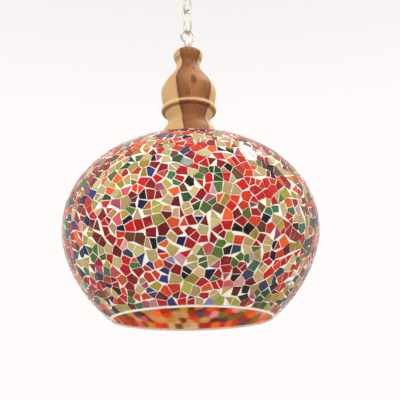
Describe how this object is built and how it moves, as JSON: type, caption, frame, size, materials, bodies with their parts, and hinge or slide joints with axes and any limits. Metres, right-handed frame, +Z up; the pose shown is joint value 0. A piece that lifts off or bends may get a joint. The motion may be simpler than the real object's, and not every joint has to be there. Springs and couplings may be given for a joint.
{
  "type": "mosaic glass pendant lamp",
  "caption": "Hanging globe lamp of irregular coloured glass tiles in pale grout under a turned wood top, with a screw-in bulb, on chain links from a ceiling canopy.",
  "frame": {"origin": "middle of the ceiling plate's upper face, where it lies on the ceiling", "axes": "+Z up into the ceiling, +X to the right and +Y away from someone who looks at the lamp"},
  "size_m": [0.4, 0.4, 0.6863],
  "materials": {
    "polished_steel": "polished",
    "zinc_steel": "zinc plated",
    "bulb_cap": "nickel plated",
    "brass": "satin",
    "turned_wood": "satin varnish",
    "mosaic_tiles": "glossy cut glass tiles in pale grout",
    "shade_glass": "gloss",
    "grout": "matt",
    "rubber": "matt",
    "flex_sheath": "satin",
    "live_wire": "matt",
    "neutral_wire": "matt",
    "white_plastic": "satin",
    "holder_plastic": "satin",
    "holder_ceramic": "glazed",
    "bulb_glass": "frosted",
    "filament_metal": "dull"
  },
  "bodies": {
    "ceiling_fitting": {"ceiling_plate": "zinc_steel", "ceiling_bridge": "zinc_steel", "ceiling_screw_left": "zinc_steel", "ceiling_screw_right": "zinc_steel", "ceiling_tube": "zinc_steel", "bridge_upper_nut": "zinc_steel", "bridge_lower_nut": "zinc_steel", "canopy": "polished_steel", "canopy_loop": "polished_steel", "terminal_block": "white_plastic", "terminal_block_screw": "zinc_steel", "canopy_lead_live": "live_wire", "canopy_lead_neutral": "neutral_wire", "flex_upper": "flex_sheath"},
    "upper_link": {"upper_chain_link": "polished_steel", "flex_middle": "flex_sheath"},
    "lower_link": {"lower_chain_link": "polished_steel"},
    "lamp": {"lamp_loop": "polished_steel", "loop_washer": "polished_steel", "turned_wood_top": "turned_wood", "lamp_tube": "zinc_steel", "upper_gasket": "rubber", "glass_shade": "shade_glass", "mosaic_skin": "mosaic_tiles", "opening_rim": "grout", "lower_gasket": "rubber", "shade_plate": "zinc_steel", "shade_nut": "zinc_steel", "flex_lower": "flex_sheath", "flex_in_tube": "flex_sheath", "holder_cap": "holder_plastic", "holder_grub_screw": "zinc_steel", "holder_core": "holder_ceramic", "contact_screw_live": "brass", "contact_screw_neutral": "brass", "holder_lead_live": "live_wire", "holder_lead_neutral": "neutral_wire", "holder_sleeve": "holder_plastic", "thread_shell": "brass", "centre_contact": "brass"},
    "bulb": {"bulb_tip": "brass", "bulb_insulator": "holder_plastic", "bulb_base": "bulb_cap", "bulb_glass": "bulb_glass", "bulb_stem": "bulb_glass", "bulb_filament": "filament_metal"}
  },
  "joints": [
    {"name": "upper_link_swing", "type": "hinge", "parent": "ceiling_fitting", "child": "upper_link", "pos_m": [0, 0, -0.0794], "axis": [0.7071, -0.7071, 0], "range_deg": [-20, 20], "deforming": ["flex_upper"]},
    {"name": "lower_link_swing", "type": "hinge", "parent": "upper_link", "child": "lower_link", "pos_m": [0, 0, -0.1207], "axis": [0.7071, 0.7071, 0], "range_deg": [-20, 20], "deforming": ["flex_middle"]},
    {"name": "lamp_swing", "type": "hinge", "parent": "lower_link", "child": "lamp", "pos_m": [0, 0, -0.1622], "axis": [0.7071, -0.7071, 0], "range_deg": [-20, 20], "deforming": ["flex_lower"]},
    {"name": "bulb_unscrew", "type": "slide", "parent": "lamp", "child": "bulb", "axis": [0, 0, -1], "range_m": [0, 0.03]}
  ]
}
